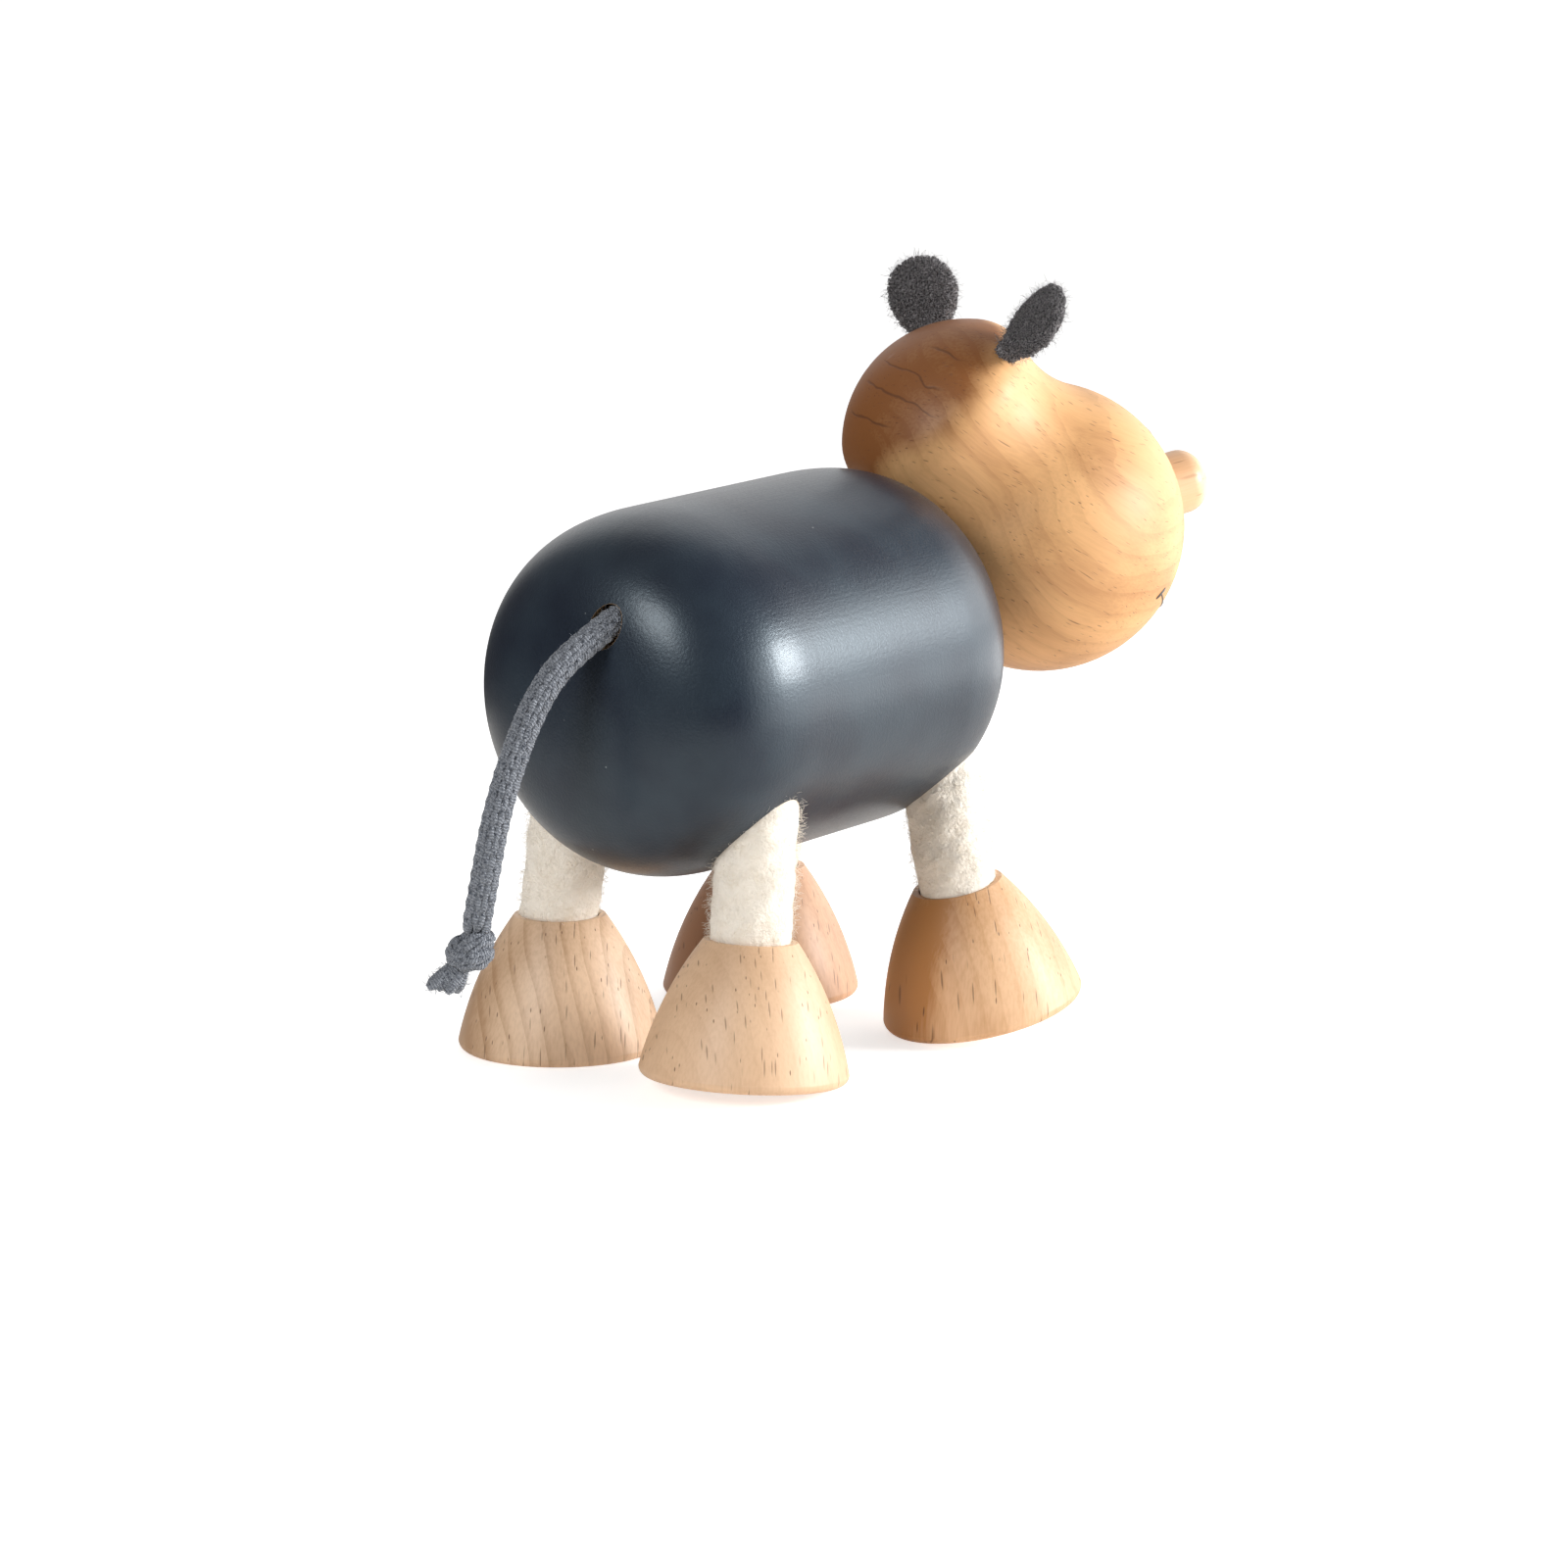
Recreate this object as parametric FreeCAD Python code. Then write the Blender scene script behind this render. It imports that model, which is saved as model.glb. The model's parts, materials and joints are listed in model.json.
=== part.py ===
"""Posable wooden toy rhinoceros: a turned barrel body, a peanut-shaped head, a peg horn, two fleece ears,
a braided cord tail and four dome feet on felt-covered wire legs.

Millimetres, +X forward, +Y to the animal's left, +Z up. The origin is on the ground, under the middle of the
toy's box without its tail. Every piece is written to parts/NODE.step.
"""
import FreeCAD, Part

import math
import os

from FreeCAD import Rotation, Vector

X_AXIS = Vector(1, 0, 0)
Y_AXIS = Vector(0, 1, 0)
Z_AXIS = Vector(0, 0, 1)
FIT = 0.08  # radial clearance of a running fit

# Body barrel, turned on a lathe
BARREL_X = -21.2
BARREL_Y = 1.0
BARREL_Z = 47.2
BARREL_LENGTH = 66.0
BARREL_RADIUS = 22.5
BARREL_ROUND_AXIAL = 19.2
BARREL_ROUND_POWER = 2.9  # of the superellipse that rounds each end
BARREL_ROUND_POINTS = 14
BARREL_PITCH = 2.3  # degrees, nose up

# Head, a peanut of revolution about the line from the skull's centre to the muzzle's centre
HEAD_YAW = -26.0
SKULL = Vector(43.0, -2.2, 71.2)  # from the ground point under the barrel's centre
SKULL_CAP_RADIUS = 16.1
SKULL_CAP_ANGLE = 50.0  # half angle of the round back of the skull
SKULL_SHOULDER_RADIUS = 6.0
WAIST_RADIUS = 14.0  # hollow between skull and muzzle
MUZZLE_RADIUS = 18.8
MUZZLE_FORWARD = 10.7
MUZZLE_DROP = 11.2

# Horn peg
HORN_RADIUS = 4.2
HORN_LENGTH = 5.7  # beyond the muzzle's surface
HORN_TENON = 4.0
HORN_ELEVATION = 12.5
HORN_EDGE_ROUND = 2.9

# Neck wire
NECK_PIVOT = Vector(33.9, 1.2, 60.4)  # from the ground point under the barrel's centre
NECK_RADIUS = 1.25
NECK_IN_BARREL = 11.0
NECK_IN_HEAD = 9.0
NECK_SLOPE = 15.0  # degrees, rising into the head

# Ears, flat ovals of fleece pinched into small holes
EAR_WIDTH = 8.8
EAR_HEIGHT = 10.0
EAR_THICK = 2.4
EAR_STEM_RADIUS = 1.3
EAR_STEM_DEPTH = 3.0
EAR_STEM_SHOWN = 1.0
EAR_BASE_RADIUS = 15.6  # from the skull's centre
EAR_BASE_OUT = 38.0  # degrees from straight up, sideways
EAR_BASE_FORWARD = 0.5
EARS = {  # side: (left or right, lean outwards, lean forwards, turn of the face)
    "ear_left": (1, 17.0, -6.0, 48.0),
    "ear_right": (-1, 32.0, 31.0, -4.0),
}

# Legs: hip where the leg's line crosses the hip height, and the spot that the foot's centre stands on
HIP_Z = 30.0
SLEEVE_RADIUS = 4.85
SLEEVE_IN_BARREL = 8.5  # above the hip height, inside the blind bore
SLEEVE_IN_FOOT = 2.4
WIRE_RADIUS = 0.9
WIRE_IN_BARREL = 6.0  # past the sleeve's end
WIRE_IN_FOOT = 6.0
FOOT_RADIUS = 12.7
FOOT_TOP_RADIUS = 5.7
FOOT_HEIGHT = 16.8
FOOT_EDGE = 1.1
FOOT_SIDE_RADIUS = 10.4  # of the dome at its side height
FOOT_SIDE_HEIGHT = 8.4
LEGS = {  # (hip x, hip y, foot x, foot y, pitch toe down, roll), from the ground under the barrel's centre
    "rear_left": (-17.0, 14.4, -15.8, 17.2, 0.0, 0.0),
    "rear_right": (-16.8, -14.4, -19.1, -14.2, 5.0, 0.0),
    "front_left": (22.2, 14.4, 24.4, 17.0, 0.0, 0.0),
    "front_right": (22.2, -13.7, 23.9, -19.0, -12.0, -6.0),
}

# Tail, a braided cord out of a slanting hole in the rear cap, route in the part frame
TAIL_RADIUS = 1.75
TAIL_HOLE_RADIUS = 2.15
TAIL_HOLE_DEPTH = 8.0
TAIL_STUB = 5.0  # straight inside the hole, before the route begins
TAIL_ROUTE = [
    Vector(-53.7, -3.0, 56.4),
    Vector(-58.4, -2.0, 54.1),
    Vector(-62.9, -0.6, 49.3),
    Vector(-66.1, 0.4, 42.7),
    Vector(-68.5, 1.3, 35.5),
    Vector(-70.0, 1.8, 28.3),
    Vector(-70.6, 2.8, 21.9),
]
KNOT_RADIUS = 2.9
TAIL_END_LENGTH = 5.0
TAIL_END_RADIUS = 2.1
TAIL_END_TIP_RADIUS = 2.6
TAIL_END_SLOPE = 50.0  # degrees below the horizontal

BARREL_FOOTPRINT = Vector(BARREL_X, BARREL_Y, 0)


def revolved(edges, axis_point=Vector(0, 0, 0), axis=Z_AXIS):
    """A solid of revolution from a closed outline."""
    return Part.Face(Part.Wire(edges)).revolve(axis_point, axis, 360)


def line(a, b):
    return Part.LineSegment(a, b).toShape()


def arc(a, middle, b):
    return Part.Arc(a, middle, b).toShape()


def cylinder_between(a, b, radius):
    return Part.makeCylinder(radius, (b - a).Length, a, b - a)


def placed(shape, rotation, position):
    copy = shape.copy()
    copy.Placement = FreeCAD.Placement(position, rotation)
    return copy


def unit(vector):
    return Vector(vector).normalize()


def barrel_rotation():
    return Rotation(Y_AXIS, -BARREL_PITCH)


def barrel_end(side):
    """Quarter superellipse from the axis out to the cylinder."""
    points = []
    for k in range(BARREL_ROUND_POINTS + 1):
        turn = math.pi / 2 * k / BARREL_ROUND_POINTS
        inward = BARREL_ROUND_AXIAL * (1 - max(math.cos(turn), 0) ** (2 / BARREL_ROUND_POWER))
        across = BARREL_RADIUS * math.sin(turn) ** (2 / BARREL_ROUND_POWER)
        points.append(Vector(side * (BARREL_LENGTH / 2 - inward), 0, across))
    points[-1] = Vector(side * (BARREL_LENGTH / 2 - BARREL_ROUND_AXIAL), 0, BARREL_RADIUS)
    curve = Part.BSplineCurve()
    curve.interpolate(Points=points, InitialTangent=Z_AXIS, FinalTangent=X_AXIS * -side)
    return curve.toShape()


def barrel_blank():
    """Cylinder along X that rounds smoothly into each end."""
    half = BARREL_LENGTH / 2
    start = half - BARREL_ROUND_AXIAL
    outline = [
        line(Vector(-half, 0, 0), Vector(half, 0, 0)),
        barrel_end(1),
        line(Vector(start, 0, BARREL_RADIUS), Vector(-start, 0, BARREL_RADIUS)),
        barrel_end(-1),
    ]
    blank = revolved(Part.sortEdges(outline)[0], axis=X_AXIS)
    return placed(blank, barrel_rotation(), BARREL_FOOTPRINT + Vector(0, 0, BARREL_Z))


def head_rotation():
    return Rotation(Z_AXIS, HEAD_YAW)


def head_point(forward, left, up):
    """A point given from the skull's centre, in the head's own directions."""
    return BARREL_FOOTPRINT + SKULL + head_rotation().multVec(Vector(forward, left, up))


def muzzle_centre():
    return head_point(MUZZLE_FORWARD, 0, -MUZZLE_DROP)


def head_blank():
    """Peanut outline along Z, from the round back of the skull to the muzzle's end, then turned into place."""
    distance = math.hypot(MUZZLE_FORWARD, MUZZLE_DROP)
    angle = math.radians(SKULL_CAP_ANGLE)
    offset = SKULL_CAP_RADIUS - SKULL_SHOULDER_RADIUS
    back = Vector(0, 0, -SKULL_CAP_RADIUS)
    shoulder = Vector(offset * math.sin(angle), 0, -offset * math.cos(angle))
    muzzle = Vector(0, 0, distance)
    span = muzzle - shoulder
    reach_shoulder = SKULL_SHOULDER_RADIUS + WAIST_RADIUS
    reach_muzzle = MUZZLE_RADIUS + WAIST_RADIUS
    along = (reach_shoulder**2 - reach_muzzle**2 + span.Length**2) / (2 * span.Length)
    outward = Vector(span.z, 0, -span.x).normalize()
    waist = shoulder + unit(span) * along + outward * math.sqrt(reach_shoulder**2 - along**2)
    cap_end = unit(shoulder) * SKULL_CAP_RADIUS
    shoulder_end = shoulder + unit(waist - shoulder) * SKULL_SHOULDER_RADIUS
    waist_end = muzzle + unit(waist - muzzle) * MUZZLE_RADIUS
    tip = muzzle + Vector(0, 0, MUZZLE_RADIUS)
    cap_middle = unit(unit(back) + unit(shoulder)) * SKULL_CAP_RADIUS
    shoulder_way = unit(unit(cap_end - shoulder) + unit(shoulder_end - shoulder))
    shoulder_middle = shoulder + shoulder_way * SKULL_SHOULDER_RADIUS
    waist_middle = waist + unit(unit(shoulder_end - waist) + unit(waist_end - waist)) * WAIST_RADIUS
    outline = [
        arc(back, cap_middle, cap_end),
        arc(cap_end, shoulder_middle, shoulder_end),
        arc(shoulder_end, waist_middle, waist_end),
        arc(waist_end, muzzle + Vector(MUZZLE_RADIUS, 0, 0), tip),
        line(tip, back),
    ]
    turn = Rotation(Z_AXIS, muzzle_centre() - head_point(0, 0, 0))
    return placed(revolved(outline), turn, head_point(0, 0, 0))


def horn_direction():
    angle = math.radians(HORN_ELEVATION)
    return head_rotation().multVec(Vector(math.cos(angle), 0, math.sin(angle)))


def horn():
    """Short dowel with a rounded end and a tenon that goes into the muzzle."""
    top = MUZZLE_RADIUS + HORN_LENGTH
    root = MUZZLE_RADIUS - HORN_TENON
    bend = HORN_EDGE_ROUND * math.sqrt(0.5)
    inner = HORN_RADIUS - HORN_EDGE_ROUND
    low = top - HORN_EDGE_ROUND
    outline = [
        line(Vector(0, 0, root), Vector(HORN_RADIUS, 0, root)),
        line(Vector(HORN_RADIUS, 0, root), Vector(HORN_RADIUS, 0, low)),
        arc(Vector(HORN_RADIUS, 0, low), Vector(inner + bend, 0, low + bend), Vector(inner, 0, top)),
        line(Vector(inner, 0, top), Vector(0, 0, top)),
        line(Vector(0, 0, top), Vector(0, 0, root)),
    ]
    return placed(revolved(outline), Rotation(Z_AXIS, horn_direction()), muzzle_centre())


def horn_socket():
    bottom = muzzle_centre() + horn_direction() * (MUZZLE_RADIUS - HORN_TENON)
    return cylinder_between(bottom, bottom + horn_direction() * (HORN_TENON + 2), HORN_RADIUS)


def ear_base(side):
    """Where the ear's stem enters the skull."""
    out = math.radians(EAR_BASE_OUT)
    forward = math.radians(EAR_BASE_FORWARD)
    across = math.cos(forward) * EAR_BASE_RADIUS
    return head_point(
        EAR_BASE_RADIUS * math.sin(forward), side * across * math.sin(out), across * math.cos(out)
    )


def ear_rotation(side, lean_out, lean_forward, turn):
    """Turns an upright ear that faces forward to its lean and turn on the head."""
    lean = Rotation(Y_AXIS, lean_forward).multiply(Rotation(X_AXIS, -side * lean_out))
    return head_rotation().multiply(lean).multiply(Rotation(Z_AXIS, side * turn))


def ear(name):
    """Oval pad on a pinched stem."""
    side = EARS[name][0]
    oval = Part.Ellipse(Vector(0, 0, 0), EAR_HEIGHT / 2, EAR_WIDTH / 2).toShape()
    pad = Part.Face(Part.Wire([oval])).extrude(Vector(0, 0, EAR_THICK))
    pad = pad.makeFillet(EAR_THICK * 0.45, pad.Edges)
    pad.Placement = FreeCAD.Placement(
        Vector(-EAR_THICK / 2, 0, EAR_STEM_SHOWN + EAR_HEIGHT / 2),
        Rotation(Z_AXIS, Y_AXIS, X_AXIS, "ZYX"),
    )
    stem = cylinder_between(Vector(0, 0, -EAR_STEM_DEPTH), Vector(0, 0, EAR_STEM_SHOWN + 1), EAR_STEM_RADIUS)
    return placed(pad.fuse(stem).removeSplitter(), ear_rotation(*EARS[name]), ear_base(side))


def ear_socket(name):
    side = EARS[name][0]
    direction = ear_rotation(*EARS[name]).multVec(Z_AXIS)
    base = ear_base(side)
    bottom = base - direction * (EAR_STEM_DEPTH + FIT)
    return cylinder_between(bottom, base + direction * 4, EAR_STEM_RADIUS + FIT)


def neck_direction():
    """Along the wire, from the barrel into the head."""
    slope = math.radians(NECK_SLOPE)
    return Vector(math.cos(slope), 0, math.sin(slope))


def neck_pivot():
    return BARREL_FOOTPRINT + NECK_PIVOT


def neck_rod(radius, spare):
    start = neck_pivot() - neck_direction() * (NECK_IN_BARREL + spare)
    end = neck_pivot() + neck_direction() * (NECK_IN_HEAD + spare)
    return cylinder_between(start, end, radius)


def foot_blank():
    """Dome along Z with its flat sole at the bottom."""
    edge = FOOT_EDGE * math.sqrt(0.5)
    rim = FOOT_RADIUS - FOOT_EDGE
    outline = [
        line(Vector(0, 0, 0), Vector(rim, 0, 0)),
        arc(Vector(rim, 0, 0), Vector(rim + edge, 0, FOOT_EDGE - edge), Vector(FOOT_RADIUS, 0, FOOT_EDGE)),
        arc(
            Vector(FOOT_RADIUS, 0, FOOT_EDGE),
            Vector(FOOT_SIDE_RADIUS, 0, FOOT_SIDE_HEIGHT),
            Vector(FOOT_TOP_RADIUS, 0, FOOT_HEIGHT),
        ),
        line(Vector(FOOT_TOP_RADIUS, 0, FOOT_HEIGHT), Vector(0, 0, FOOT_HEIGHT)),
        line(Vector(0, 0, FOOT_HEIGHT), Vector(0, 0, 0)),
    ]
    return revolved(outline)


def foot_placement(leg):
    """Stands the foot on the ground at its own tilt."""
    _, _, x, y, pitch, roll = LEGS[leg]
    turn = Rotation(X_AXIS, roll).multiply(Rotation(Y_AXIS, pitch))
    lowest = placed(foot_blank(), turn, Vector(0, 0, 0)).optimalBoundingBox(False).ZMin
    return FreeCAD.Placement(BARREL_FOOTPRINT + Vector(x, y, -lowest), turn)


def hip(leg):
    x, y = LEGS[leg][:2]
    return BARREL_FOOTPRINT + Vector(x, y, HIP_Z)


def ankle(leg):
    """Centre of the foot's top."""
    return foot_placement(leg).multVec(Vector(0, 0, FOOT_HEIGHT))


def leg_line(leg, above_hip, below_ankle):
    """The two ends of a stretch of the leg's straight line."""
    up = unit(hip(leg) - ankle(leg))
    return ankle(leg) - up * below_ankle, hip(leg) + up * above_hip


def knee(leg):
    return (hip(leg) + ankle(leg)) * 0.5


def sleeve(leg):
    """Felt tube over the wire."""
    low, high = leg_line(leg, SLEEVE_IN_BARREL, SLEEVE_IN_FOOT)
    tube = cylinder_between(low, high, SLEEVE_RADIUS)
    up = unit(high - low)
    return tube.cut(cylinder_between(low - up, high + up, WIRE_RADIUS + FIT))


def wire(leg):
    low, high = leg_line(leg, SLEEVE_IN_BARREL + WIRE_IN_BARREL, SLEEVE_IN_FOOT + WIRE_IN_FOOT)
    return cylinder_between(low, high, WIRE_RADIUS)


def leg_bore(leg):
    """Stepped blind bore for the sleeve and the wire, in the barrel."""
    low, high = leg_line(leg, SLEEVE_IN_BARREL + FIT, 0)
    up = unit(high - low)
    wide = cylinder_between(hip(leg) - up * 12, high, SLEEVE_RADIUS + FIT)
    narrow = cylinder_between(high, high + up * WIRE_IN_BARREL, WIRE_RADIUS + FIT)
    return wide.fuse(narrow)


def foot_bore(leg):
    """Stepped blind bore for the sleeve and the wire, in the foot's top."""
    low, _ = leg_line(leg, 0, SLEEVE_IN_FOOT + FIT)
    up = unit(hip(leg) - ankle(leg))
    wide = cylinder_between(low, ankle(leg) + up * 4, SLEEVE_RADIUS + FIT)
    narrow = cylinder_between(low - up * WIRE_IN_FOOT, low, WIRE_RADIUS + FIT)
    return wide.fuse(narrow)


def tail_hole():
    outward = unit(TAIL_ROUTE[0] - TAIL_ROUTE[1]) * -1
    bottom = TAIL_ROUTE[0] - outward * TAIL_HOLE_DEPTH
    return cylinder_between(bottom, TAIL_ROUTE[0] + outward * 6, TAIL_HOLE_RADIUS)


def rounded_path(points):
    """Straight runs joined by tangent arcs, each as large as its two runs allow."""
    edges = []
    radii = []
    here = points[0]
    for before, corner, after in zip(points, points[1:], points[2:]):
        arriving = unit(corner - before)
        leaving = unit(after - corner)
        half_turn = arriving.getAngle(leaving) / 2
        cut = 0.45 * min((corner - before).Length, (after - corner).Length)
        radius = cut / math.tan(half_turn)
        radii.append(radius)
        begin = corner - arriving * cut
        end = corner + leaving * cut
        centre = corner + unit(leaving - arriving) * (radius / math.cos(half_turn))
        middle = centre + unit(corner - centre) * radius
        edges += [line(here, begin), arc(begin, middle, end)]
        here = end
    edges.append(line(here, points[-1]))
    return Part.Wire(edges), radii


def tail_cord():
    outward = unit(TAIL_ROUTE[1] - TAIL_ROUTE[0])
    start = TAIL_ROUTE[0] - outward * TAIL_STUB
    path, radii = rounded_path([start] + TAIL_ROUTE[1:])
    section = Part.Wire([Part.Circle(start, outward, TAIL_RADIUS).toShape()])
    tube = path.makePipeShell([section], True, False, 2)
    expected = math.pi * TAIL_RADIUS**2 * path.Length
    print("tail arc radii", [round(radius, 1) for radius in radii], "length", round(path.Length, 2))
    print("tail volume", round(tube.Volume, 2), "section x length", round(expected, 2))
    return Part.Solid(tube) if tube.ShapeType == "Shell" else tube


def knot_centre():
    downward = unit(TAIL_ROUTE[-1] - TAIL_ROUTE[-2])
    return TAIL_ROUTE[-1] + downward * math.sqrt(KNOT_RADIUS**2 - TAIL_RADIUS**2)


def tail_knot():
    """Ball with a flat where the cord meets it."""
    downward = unit(TAIL_ROUTE[-1] - TAIL_ROUTE[-2])
    ball = Part.makeSphere(KNOT_RADIUS, knot_centre())
    above = Part.makeCylinder(KNOT_RADIUS * 2, KNOT_RADIUS * 2, TAIL_ROUTE[-1], downward * -1)
    return ball.cut(above)


def tail_end():
    """Frayed stub below the knot."""
    slope = math.radians(TAIL_END_SLOPE)
    direction = Vector(-math.cos(slope) * 0.8, math.cos(slope) * 0.6, -math.sin(slope))
    stub = Part.makeCone(
        TAIL_END_RADIUS, TAIL_END_TIP_RADIUS, KNOT_RADIUS + TAIL_END_LENGTH, knot_centre(), direction
    )
    return stub.cut(Part.makeSphere(KNOT_RADIUS, knot_centre()))


def build():
    """Every node's solid by name."""
    barrel = barrel_blank().cut(neck_rod(NECK_RADIUS + FIT, FIT)).cut(tail_hole())
    head = head_blank().cut(neck_rod(NECK_RADIUS + FIT, FIT)).cut(horn_socket())
    parts = {"horn": horn(), "neck_wire": neck_rod(NECK_RADIUS, 0)}
    for name in EARS:
        head = head.cut(ear_socket(name))
        parts[name] = ear(name)
    for leg in LEGS:
        barrel = barrel.cut(leg_bore(leg))
        foot = foot_blank()
        foot.Placement = foot_placement(leg)
        parts["foot_" + leg] = foot.cut(foot_bore(leg))
        parts["leg_sleeve_" + leg] = sleeve(leg)
        parts["leg_wire_" + leg] = wire(leg)
    parts["barrel"] = barrel
    parts["head"] = head
    parts["tail_cord"] = tail_cord()
    parts["tail_knot"] = tail_knot()
    parts["tail_end"] = tail_end()
    return parts


def main():
    os.makedirs("parts", exist_ok=True)
    box = FreeCAD.BoundBox()
    for name, shape in build().items():
        if not shape.isValid() or len(shape.Solids) != 1:
            print("check", name, "valid", shape.isValid(), "solids", len(shape.Solids))
        shape.exportStep("parts/" + name + ".step")
        if not name.startswith("tail"):
            box.add(shape.optimalBoundingBox(False))
    print("box without the tail", box)


if __name__ == "__main__":
    main()
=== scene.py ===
"""Looks of a posable wooden toy rhinoceros: slate barrel, honey beech head, pale beech feet, felt legs, fleece
ears and a braided cord tail.

Metres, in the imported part's frame: +X forward, +Y to the animal's left, +Z up.
"""
import json
import math
import random

import bmesh
import bpy
from mathutils import Euler, Matrix, Vector, noise
from mathutils.bvhtree import BVHTree


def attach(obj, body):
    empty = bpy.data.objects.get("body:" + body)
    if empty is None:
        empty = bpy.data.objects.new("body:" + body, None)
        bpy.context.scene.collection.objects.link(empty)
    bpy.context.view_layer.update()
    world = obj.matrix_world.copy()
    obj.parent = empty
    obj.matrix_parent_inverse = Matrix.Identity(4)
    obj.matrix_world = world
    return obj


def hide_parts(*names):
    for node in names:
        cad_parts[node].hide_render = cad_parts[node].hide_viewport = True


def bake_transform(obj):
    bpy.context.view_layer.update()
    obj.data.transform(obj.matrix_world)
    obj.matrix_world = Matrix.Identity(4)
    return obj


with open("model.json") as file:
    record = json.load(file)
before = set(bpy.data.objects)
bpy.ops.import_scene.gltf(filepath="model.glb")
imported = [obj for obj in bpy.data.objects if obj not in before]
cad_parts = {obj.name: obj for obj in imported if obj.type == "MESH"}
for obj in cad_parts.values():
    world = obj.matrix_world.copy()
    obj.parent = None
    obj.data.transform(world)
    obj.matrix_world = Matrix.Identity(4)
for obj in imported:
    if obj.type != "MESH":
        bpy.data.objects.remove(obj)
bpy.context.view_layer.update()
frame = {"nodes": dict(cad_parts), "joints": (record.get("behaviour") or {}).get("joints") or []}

MM = 0.001
X_AXIS = Vector((1, 0, 0))
Z_AXIS = Vector((0, 0, 1))
JOINTS = {joint["name"]: joint for joint in frame["joints"]}

# Camera and light
CAMERA_HEADING = math.radians(37.6)  # the way it looks, from +X towards +Y
CAMERA_DROP = math.radians(10.15)
CAMERA_AIM = Vector((-15.3, -0.1, 32.0)) * MM
CAMERA_DISTANCE = 0.65
CAMERA_LENS = 120
FLOOR_RADIUS = 9.0
SHEET_RADIUS = 0.2
WINDOW_EDGE = (0.45, 0.88)
WINDOW_LEVEL = 3.6
TABLE_LEVEL = 3.4
BACK_LEVEL = 1.0
SKY_LEVEL = 0.16
ROOM_LEVEL = 0.06
WINDOW_WATTS = 3.4
WINDOW_SIZE = 0.17
WINDOW_PLACE = (0.59, 0.04, 0.175)  # right, near and up from the point the camera looks at
FILL_WATTS = 2.8
FILL_SIZE = 0.28
FILL_PLACE = (-0.41, 0.55, 0.38)
FLOOR_GLOW = 0.6
SHEET_GLOW = 0.22

# Barrel and head, as the part has them
BARREL_CENTRE = Vector((-21.2, 1.0, 47.2)) * MM
BARREL_PITCH = math.radians(-2.3)
BARREL_SKIN = 22.3 * MM  # just under its radius
BORE_FIT = 0.08 * MM  # of a hole round the piece in it
BORE_REACH = 12 * MM
TAIL_HOLE_RADIUS = 2.15 * MM
TAIL_HOLE_REACH = 10 * MM
HEAD_YAW = math.radians(-26.0)
SKULL_CENTRE = Vector((21.8, -1.2, 71.2)) * MM
HEAD_TURN = Matrix.Rotation(HEAD_YAW, 3, "Z")
MUZZLE_CENTRE = SKULL_CENTRE + HEAD_TURN @ Vector((10.7, 0, -11.2)) * MM
GRAIN_DROP = math.radians(30)  # of the head's grain below its own forward direction
BACK_WOOD_AND_SHADE = HEAD_TURN @ Vector((-0.71, 0, 0.71))  # towards the back of the head, away from the light, where the wood is darkened: partly darker wood, partly painted shade
BACK_WOOD_AND_SHADE_START = 9.2 * MM
HORN_WAY = HEAD_TURN @ Vector((0.976, 0, 0.216))

# Face, in degrees from the middle of a lobe, and millimetres
MOUTH_REACH = 52
MOUTH_RISE = -38
MOUTH_CURVE = 13.5
MOUTH_RADIUS = 0.16 * MM
TICK_RADIUS = 0.20 * MM
EYE_YAW = 9
EYE_RISE = 2
EYE_RADIUS = 0.95
EYE_PROUD = 0.16

# Neck wire, from its pivot between barrel and head
NECK_WAY = Vector((0.966, 0, 0.259))
NECK_RADIUS = 1.25 * MM
NECK_IN_BARREL = 11.0 * MM
NECK_IN_HEAD = 9.0 * MM

# Legs
LEGS = ("rear_left", "rear_right", "front_left", "front_right")
SLEEVE_RADIUS = 4.85 * MM
SLEEVE_BORE = 1.0 * MM
SLEEVE_ABOVE_HIP = 8.5 * MM
SLEEVE_BELOW_ANKLE = 2.4 * MM
WIRE_RADIUS = 0.9 * MM
WIRE_PAST_SLEEVE = 6.0 * MM

# Drying lines over the back of the skull: height, and the right and left ends, in millimetres from its centre
SKULL_LINES = [(8.2, -9.0, -5.0), (3.3, -9.9, 0.6), (-0.2, -10.8, 1.7), (-4.2, -5.9, 2.9)]

# Ears: side, lean outwards, lean forwards, turn of the face, in degrees
EARS = {"ear_left": (1, 17.0, -6.0, 48.0), "ear_right": (-1, 32.0, 31.0, -4.0)}
EAR_TAPER = {"ear_left": 0.13, "ear_right": 0.0}
EAR_WIDTH = 8.8 * MM  # without its loops
EAR_HEIGHT = 10.5 * MM
EAR_THICK = 1.8 * MM
EAR_LIFT = 0.7 * MM  # bottom of the oval above the skull

# Tail
TAIL_RADIUS = 1.75 * MM
TAIL_STUB = 5.0 * MM
TAIL_ROUTE = [
    Vector((-53.7, -3.0, 56.4)) * MM,
    Vector((-58.4, -2.0, 54.1)) * MM,
    Vector((-62.9, -0.6, 49.3)) * MM,
    Vector((-66.1, 0.4, 42.7)) * MM,
    Vector((-68.5, 1.3, 35.5)) * MM,
    Vector((-70.0, 1.8, 28.3)) * MM,
    Vector((-70.6, 2.8, 21.9)) * MM,
]
TAIL_OUTWARD = (TAIL_ROUTE[1] - TAIL_ROUTE[0]).normalized()
STITCH_COLUMNS = 6
STITCH_PITCH = 1.7 * MM

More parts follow.
